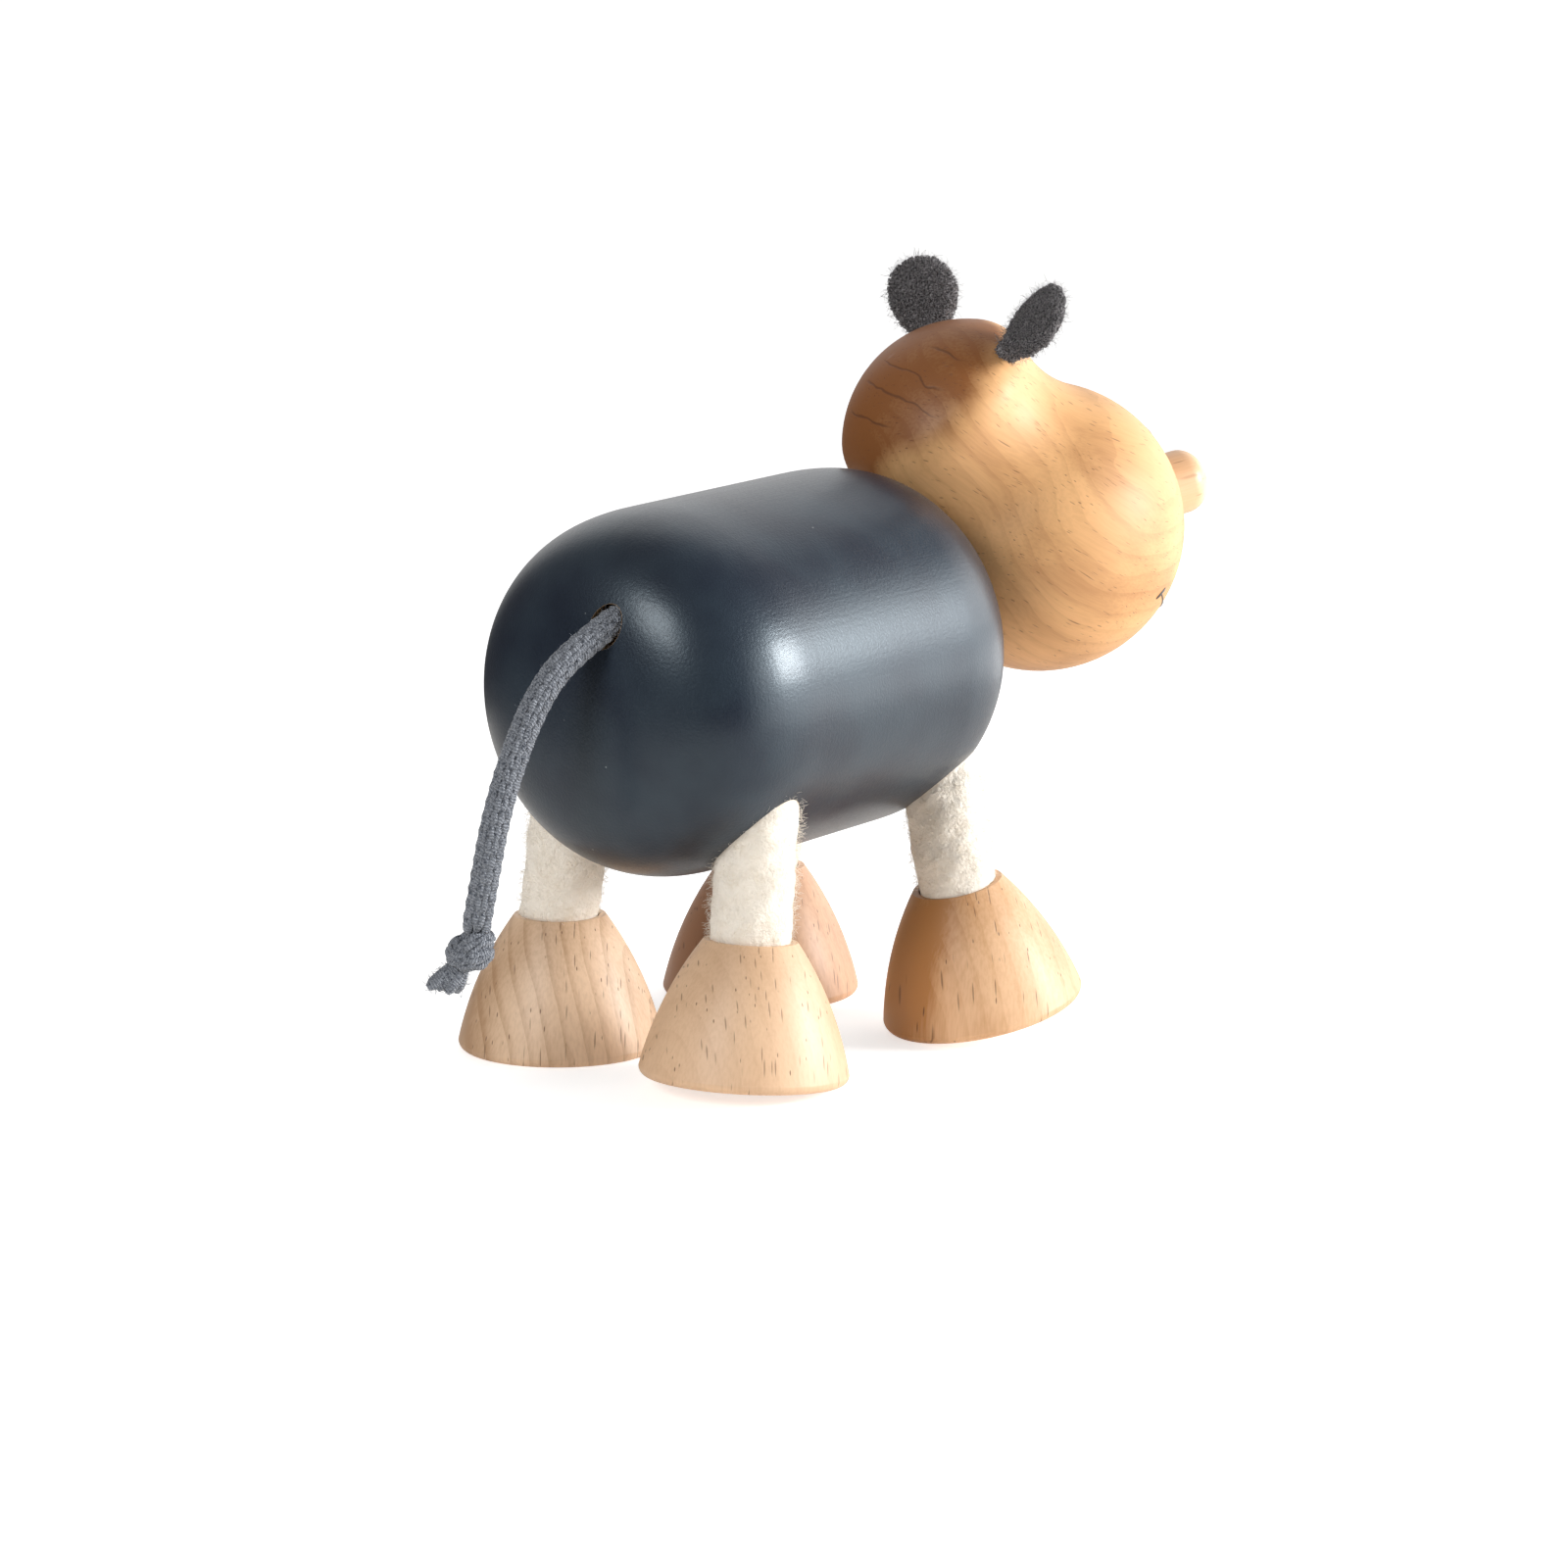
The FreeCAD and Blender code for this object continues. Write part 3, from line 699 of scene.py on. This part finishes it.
def leg_stretch(name, low, high, outer, inner, material, lumpy):
    """A hollow round stretch from low to high."""
    axis = (high - low).normalized()
    across = axis.cross(X_AXIS).normalized()
    other = axis.cross(across)
    steps = max(2, round((high - low).length / (0.4 * MM)))
    sides = 64 if lumpy else 16
    build = bmesh.new()
    profile = [(low.lerp(high, k / steps), outer) for k in range(steps + 1)]
    profile += [(high, inner), (low, inner)] if inner else []
    rings = []
    for centre, radius in profile:
        ring = []
        for k in range(sides):
            turn = 2 * math.pi * k / sides
            out = across * math.cos(turn) + other * math.sin(turn)
            place = centre + out * radius
            if lumpy and radius == outer:
                place += out * felt_lump(place)
            ring.append(build.verts.new(place))
        rings.append(ring)
    pairs = list(zip(rings, rings[1:])) + ([(rings[-1], rings[0])] if inner else [])
    for below, above in pairs:
        for k in range(sides):
            after = (k + 1) % sides
            build.faces.new((below[k], below[after], above[after], above[k]))
    if not inner:
        build.faces.new(list(reversed(rings[0])))
        build.faces.new(rings[-1])
    bmesh.ops.recalc_face_normals(build, faces=build.faces)
    return to_object(name, build, material)


def leg(name, felt, steel, tree):
    """Felt sleeve and wire in three stretches, for the hip, the knee and the ankle."""
    hip, knee, ankle = leg_points(name)
    up = (hip - ankle).normalized()
    cuts = [hip + up * SLEEVE_ABOVE_HIP, (hip + knee) / 2, (knee + ankle) / 2, ankle - up * SLEEVE_BELOW_ANKLE]
    labels = ("hip", "knee", "ankle")
    for i, label in enumerate(labels):
        top, bottom = cuts[i], cuts[i + 1]
        sleeve = leg_stretch(f"sleeve_{label}_{name}", bottom, top, SLEEVE_RADIUS, SLEEVE_BORE, felt, True)
        low_end = bottom - up * MM if label != "ankle" else ankle
        mark_pile(sleeve, lambda v: (v.co - bottom).dot(up) > (low_end - bottom).dot(up) and is_outer(v.co, hip, up))
        grow_pile(sleeve, tree, seed=10 + i, **FELT_FUZZ)
        extra_top = up * WIRE_PAST_SLEEVE if label == "hip" else Vector()
        extra_bottom = up * WIRE_PAST_SLEEVE if label == "ankle" else Vector()
        rod = leg_stretch(
            f"wire_{label}_{name}", bottom - extra_bottom, top + extra_top, WIRE_RADIUS, 0, steel, False
        )
        for piece in (sleeve, rod):
            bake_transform(piece)
        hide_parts("leg_sleeve_" + name)
        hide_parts("leg_wire_" + name)


def neck(steel):
    """Neck wire in two halves, named turn and nod, that meet at its pivot."""
    pivot = joint_place("neck_turn")
    ends = [pivot - NECK_WAY * NECK_IN_BARREL, pivot, pivot + NECK_WAY * NECK_IN_HEAD]
    halves = (("turn", "barrel", "neck"), ("nod", "neck", "head"))
    for i, (label, before, after) in enumerate(halves):
        rod = leg_stretch("wire_neck_" + label, ends[i], ends[i + 1], NECK_RADIUS, 0, steel, False)
        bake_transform(rod)
        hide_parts("neck_wire")


def is_outer(place, on_axis, axis):
    """True on a sleeve's outside, outside the barrel."""
    offset = place - on_axis
    away = (offset - axis * offset.dot(axis)).length
    return away > SLEEVE_RADIUS * 0.8 and outside_barrel(place)


def outside_barrel(place):
    local = place - BARREL_CENTRE
    return math.hypot(local.y, local.z) > BARREL_SKIN


def ear_turn(side, lean_out, lean_forward, turn):
    lean = Matrix.Rotation(math.radians(lean_forward), 3, "Y")
    out = Matrix.Rotation(math.radians(-side * lean_out), 3, "X")
    face = Matrix.Rotation(math.radians(side * turn), 3, "Z")
    return HEAD_TURN @ lean @ out @ face


def ear(name, material, tree):
    """Plump oval of pile fabric, narrower at its pinched bottom."""
    base = joint_place(name + "_flex")
    turn = ear_turn(*EARS[name])
    build = bmesh.new()
    bmesh.ops.create_uvsphere(build, u_segments=72, v_segments=48, radius=1.0)
    for vertex in build.verts:
        x, y, z = vertex.co
        flat = abs(x) ** 0.7 * math.copysign(EAR_THICK / 2, x)
        taper = 1 + EAR_TAPER[name] * z
        place = Vector((flat, y * taper * EAR_WIDTH / 2, (z + 1) * EAR_HEIGHT / 2 + EAR_LIFT))
        knobs = noise.noise(place * (1.1 / MM)) * 0.22 * MM + noise.noise(place * (2.4 / MM)) * 0.12 * MM
        place += vertex.co.normalized() * knobs
        place.x += 0.5 * MM * (y * y - 0.3)  # the oval curls forward at its edges
        vertex.co = base + turn @ place
    bmesh.ops.create_cone(
        build, cap_ends=True, segments=24, radius1=1.25 * MM, radius2=1.5 * MM, depth=5 * MM,
        matrix=Matrix.Translation(base + turn @ Vector((0, 0, -0.2 * MM))) @ turn.to_4x4(),
    )
    bmesh.ops.recalc_face_normals(build, faces=build.faces)
    piece = to_object(name + "_fleece", build, material)
    seed = 31 if name == "ear_left" else 32
    mark_pile(piece, lambda v: (turn.transposed() @ (v.co - base)).z > EAR_LIFT)
    grow_pile(piece, tree, seed=seed, **EAR_LOOPS)
    grow_pile(piece, tree, seed=seed + 4, **EAR_STRAYS)
    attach(piece, name)
    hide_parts(name)


def tail_line():
    """The tail's route, from inside the hole to the knot."""
    start = TAIL_ROUTE[0] - TAIL_OUTWARD * TAIL_STUB
    return curve_points([start] + TAIL_ROUTE[1:])


def view_directions():
    """Right, towards the camera, and up in the camera's picture."""
    look = Vector((
        math.cos(CAMERA_DROP) * math.cos(CAMERA_HEADING),
        math.cos(CAMERA_DROP) * math.sin(CAMERA_HEADING),
        -math.sin(CAMERA_DROP),
    ))
    right = look.cross(Z_AXIS).normalized()
    return right, -look, right.cross(look)


def tail(yarn, tree):
    line = tail_line()
    right, near, up = view_directions()
    build = bmesh.new()
    knitted_cord(build, line, near, TAIL_RADIUS)
    cord = to_object("tail_braid", build, yarn)
    cord.data.uv_layers[0].name = "strand"
    mark_pile(cord, lambda v: 1)
    grow_pile(cord, tree, seed=51, **CORD_FUZZ)

    centre = TAIL_ROUTE[-1] + (TAIL_ROUTE[-1] - TAIL_ROUTE[-2]).normalized() * 2.3 * MM
    loop = [  # right, near, up from the knot's centre, in millimetres
        (0.4, 0.0, 3.0),
        (0.2, -0.5, 1.0),
        (1.7, 0.2, -0.2),
        (0.4, 1.7, -1.1),
        (-1.9, 1.0, -0.9),
        (-1.8, -1.2, 0.5),
        (0.3, -1.7, 1.4),
        (1.9, 0.3, 1.5),
        (0.2, 1.5, 0.9),
        (-1.0, 0.4, -0.6),
        (-1.7, -0.1, -2.0),
    ]
    knot_line = curve_points([centre + (right * a + near * b + up * c) * MM for a, b, c in loop], 10)
    build = bmesh.new()
    knitted_cord(build, knot_line, near, 1.38 * MM, 5, 1.45 * MM)
    knot = to_object("tail_knot_braid", build, yarn)
    knot.data.uv_layers[0].name = "strand"
    mark_pile(knot, lambda v: 1)
    grow_pile(knot, tree, seed=52, **KNOT_FUZZ)

    frayed = frayed_end(centre + (right * -1.2 + up * -1.3) * MM, right, near, up, yarn, tree)
    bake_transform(cord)
    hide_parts("tail_cord")
    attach(knot, "tail")
    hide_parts("tail_knot")
    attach(frayed, "tail")
    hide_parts("tail_end")


def frayed_end(start, right, near, up, yarn, tree):
    """Loosened yarns that fan out below the knot."""
    draw = random.Random(7)
    build = bmesh.new()
    uv = build.loops.layers.uv.verify()
    for k in range(9):
        turn = 2 * math.pi * k / 9
        fan = right * math.cos(turn) * 0.55 + near * math.sin(turn) * 0.6
        heading = (right * -0.62 + up * -0.78 + fan * draw.uniform(0.5, 0.95)).normalized()
        reach = draw.uniform(3.6, 4.8) * MM
        droop = right * draw.uniform(-0.6, 0.6) * MM + near * draw.uniform(-0.4, 0.4) * MM
        points = [start + fan * MM * 0.7 + heading * reach * share + droop * share**2 for share in
                  (k / 6 for k in range(7))]
        radii = [0.70 * MM * (0.9 + 0.25 * math.sin(math.pi * k / 6)) for k in range(6)] + [0.3 * MM]
        add_tube(build, points, radii, 8, uv)
    piece = to_object("tail_frayed_end", build, yarn)
    piece.data.uv_layers[0].name = "strand"
    mark_pile(piece, lambda v: 1)
    return grow_pile(piece, tree, seed=53, **END_FUZZ)


def face_marks(material):
    """Two dot eyes and a thin mouth with a tick at each corner, on the head's surface."""
    head = frame["nodes"]["head"]
    surface = BVHTree.FromPolygons(
        [vertex.co.copy() for vertex in head.data.vertices], [tuple(face.vertices) for face in head.data.polygons]
    )

    def on_head(centre, yaw, rise):
        direction = HEAD_TURN @ Vector((
            math.cos(math.radians(rise)) * math.cos(math.radians(yaw)),
            math.cos(math.radians(rise)) * math.sin(math.radians(yaw)),
            math.sin(math.radians(rise)),
        ))
        hit, normal, _, _ = surface.ray_cast(centre + direction * 40 * MM, -direction)
        return hit, normal

    def stroke(build, centre, angles, thickness):
        line = [on_head(centre, yaw, rise)[0] for yaw, rise in angles]
        ends = [0.5 + 0.5 * max(math.sin(math.pi * k / (len(line) - 1)), 0.0) ** 0.4 for k in range(len(line))]
        add_tube(build, line, [thickness * size for size in ends], 8)

    build = bmesh.new()
    mouth = [
        (yaw, MOUTH_RISE + MOUTH_CURVE * (yaw / MOUTH_REACH) ** 2) for yaw in range(-MOUTH_REACH, MOUTH_REACH + 1, 2)
    ]
    stroke(build, MUZZLE_CENTRE, mouth, MOUTH_RADIUS)
    for side in (-1, 1):
        tick = [(side * (55.5 - 5.5 * k / 6), -26.4 + 4.2 * k / 6) for k in range(7)]
        stroke(build, MUZZLE_CENTRE, tick, TICK_RADIUS)
    line_piece = to_object("face_mouth", build, material)
    build = bmesh.new()
    for side in (-1, 1):
        middle, normal = on_head(SKULL_CENTRE, side * EYE_YAW, EYE_RISE)
        across = normal.cross(Z_AXIS).normalized()
        other = normal.cross(across)
        dot = bmesh.ops.create_uvsphere(build, u_segments=24, v_segments=12, radius=1.0)["verts"]
        for vertex in dot:
            x, y, z = vertex.co
            flat = across * x * EYE_RADIUS + other * y * EYE_RADIUS
            vertex.co = middle + (flat + normal * z * EYE_PROUD) * MM
    bmesh.ops.recalc_face_normals(build, faces=build.faces)
    eyes = to_object("face_eyes", build, material)
    for piece in (line_piece, eyes):
        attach(piece, "head")


def coat(node_name, material):
    slots = frame["nodes"][node_name].material_slots
    for place in range(len(slots)):
        slots[place].material = material


def finish_woods():
    """Woods of the turned pieces, each with its grain in its own direction."""
    grain = (HEAD_TURN @ Vector((math.cos(GRAIN_DROP), 0, -math.sin(GRAIN_DROP)))).to_track_quat("Z", "X")
    # The back of the head is darkened: partly darker heartwood, partly painted shade on the side away from the light.
    head = wood("honey_beech", SKULL_CENTRE, grain.to_euler(), HONEY, (24, 9, 0), 0.56, 0.08, 0.7, 0.5, 0.09,
                heart_and_shade=(SKULL_CENTRE + BACK_WOOD_AND_SHADE * BACK_WOOD_AND_SHADE_START, BACK_WOOD_AND_SHADE, 1.8), flecks=(3.6, 0.9, 0.36), wave=7.0,
                fibres=0.10, lines=skull_lines)
    coat("head", head)
    horn_turn = HORN_WAY.to_track_quat("Z", "Y").to_euler()
    coat("horn", wood("peg_beech", MUZZLE_CENTRE, horn_turn, PEG, (15, 4, 0), 0.42, 0.15, 0.6))
    # The feet are darkened on their side away from the window: partly darker heartwood, partly painted shade.
    shaded = Vector((-0.75, 0.65, 0.1)).normalized()
    looks = {  # tones, pith, strength of the growth rings, where the darkening begins, which is partly darker heartwood and partly painted shade on the side away from the window
        "rear_left": (UMBER, (-34, 3, 0), 0.34, 9.0),
        "rear_right": (BLOND, (26, 14, 0), 0.12, None),
        "front_left": (RUSSET, (22, 20, 0), 0.14, 4.0),
        "front_right": (AMBER, (26, 9, 0), 0.14, 3.0),
    }
    for name, (tones, pith, bands, begins) in looks.items():
        _, _, ankle = leg_points(name)
        turn = Euler((0.03, 0.04, math.radians(-52 + 6 * LEGS.index(name))))
        heart_and_shade = (ankle + shaded * begins * MM, shaded, 4.0) if begins else None
        made = wood("beech_" + name, ankle, turn, tones, pith, 0.5, 0.08, 1.0, 0.6, 0.13, bands, heart_and_shade)
        coat("foot_" + name, made)


# ---- stage ----

def camera():
    _, near, _ = view_directions()
    data = bpy.data.cameras.new("camera")
    data.lens = CAMERA_LENS
    data.sensor_width = 36
    data.clip_start = 0.01
    data.clip_end = 100
    holder = bpy.data.objects.new("camera", data)
    holder.location = CAMERA_AIM + near * CAMERA_DISTANCE
    holder.rotation_mode = "QUATERNION"
    holder.rotation_quaternion = (-near).to_track_quat("-Z", "Y")
    bpy.context.scene.collection.objects.link(holder)
    bpy.context.scene.camera = holder


def soft_light(name, place, power, size):
    """A softbox that faces the toy."""
    data = bpy.data.lights.new(name, "AREA")
    data.shape = "RECTANGLE"
    data.size = size
    data.size_y = size
    data.energy = power
    lamp = bpy.data.objects.new(name, data)
    lamp.location = place
    lamp.rotation_mode = "QUATERNION"
    lamp.rotation_quaternion = (CAMERA_AIM - place).to_track_quat("-Z", "Y")
    bpy.context.scene.collection.objects.link(lamp)


def disc(name, radius, height, material):
    build = bmesh.new()
    made = bmesh.ops.create_circle(build, cap_ends=True, segments=96, radius=radius)
    bmesh.ops.translate(build, verts=made["verts"], vec=(0, 0, height))
    piece = to_object(name, build, material)
    return piece


def lobe(tree, heading, towards, edges):
    """How far a direction of the sky lies inside a soft round patch."""
    facing = along(tree, heading, towards.normalized())
    return step(tree, facing, *edges)


def studio():
    """White floor, a pale sheet under the toy that lights it from below, and a window to the right."""
    right, near, _ = view_directions()
    level_near = Vector((near.x, near.y, 0)).normalized()
    scene = bpy.context.scene
    scene.view_settings.view_transform = "Standard"
    scene.world = bpy.data.worlds.new("studio")
    scene.world.use_nodes = True
    tree = scene.world.node_tree
    heading = node(tree, "ShaderNodeTexCoord").outputs["Generated"]
    rise = node(tree, "ShaderNodeSeparateXYZ", {0: heading}).outputs[2]

    side = lobe(tree, heading, right * 0.95 - level_near * 0.24, WINDOW_EDGE)
    pane = calculate(tree, "MULTIPLY", step(tree, rise, -0.06, 0.12), step(tree, rise, 0.52, 0.30))
    window = calculate(tree, "MULTIPLY", calculate(tree, "MULTIPLY", side, pane), WINDOW_LEVEL)
    table = calculate(tree, "MULTIPLY", calculate(tree, "MULTIPLY", side, step(tree, rise, 0.02, -0.1)), TABLE_LEVEL)
    behind = lobe(tree, heading, Z_AXIS * 0.5 - level_near * 0.85, (0.72, 0.95))
    back = calculate(tree, "MULTIPLY", behind, BACK_LEVEL)
    sky = calculate(tree, "MULTIPLY", step(tree, rise, -0.3, 0.9), SKY_LEVEL)
    level = ROOM_LEVEL
    for part in (window, table, back, sky):
        level = calculate(tree, "ADD", part, level)
    tree.links.new(level, tree.nodes["Background"].inputs["Strength"])
    tree.nodes["Background"].inputs["Color"].default_value = (1.0, 0.99, 0.98, 1.0)
    lamps = (("window", WINDOW_PLACE, WINDOW_WATTS, WINDOW_SIZE), ("fill", FILL_PLACE, FILL_WATTS, FILL_SIZE))
    for name, (a, b, c), watts, size in lamps:
        soft_light(name, CAMERA_AIM + right * a + level_near * b + Z_AXIS * c, watts, size)

    floor_white, _, _ = finish(
        "floor_white", 0.9, Base_Color=FLOOR, Emission_Color=(1.0, 1.0, 1.0), Emission_Strength=FLOOR_GLOW
    )
    floor = disc("floor", FLOOR_RADIUS, 0.0, floor_white)
    floor.visible_diffuse = False
    floor.visible_glossy = False
    floor.visible_transmission = False
    floor.visible_shadow = False
    sheet_pale, _, _ = finish(
        "sheet_pale", 0.9, Base_Color=SHEET, Emission_Color=(1.0, 0.97, 0.93), Emission_Strength=SHEET_GLOW
    )
    sheet = disc("sheet", SHEET_RADIUS, -0.05 * MM, sheet_pale)
    sheet.visible_camera = False


camera()
studio()
pile = pile_tree()
tail(cotton_yarn(), pile)
coat("barrel", slate_paint())
finish_woods()
wool, steel_wire = wool_felt(), drawn_steel()
neck(steel_wire)
for leg_name in LEGS:
    leg(leg_name, wool, steel_wire, pile)
ear_cloth = fleece()
for ear_name in EARS:
    ear(ear_name, ear_cloth, pile)
face_marks(ink())
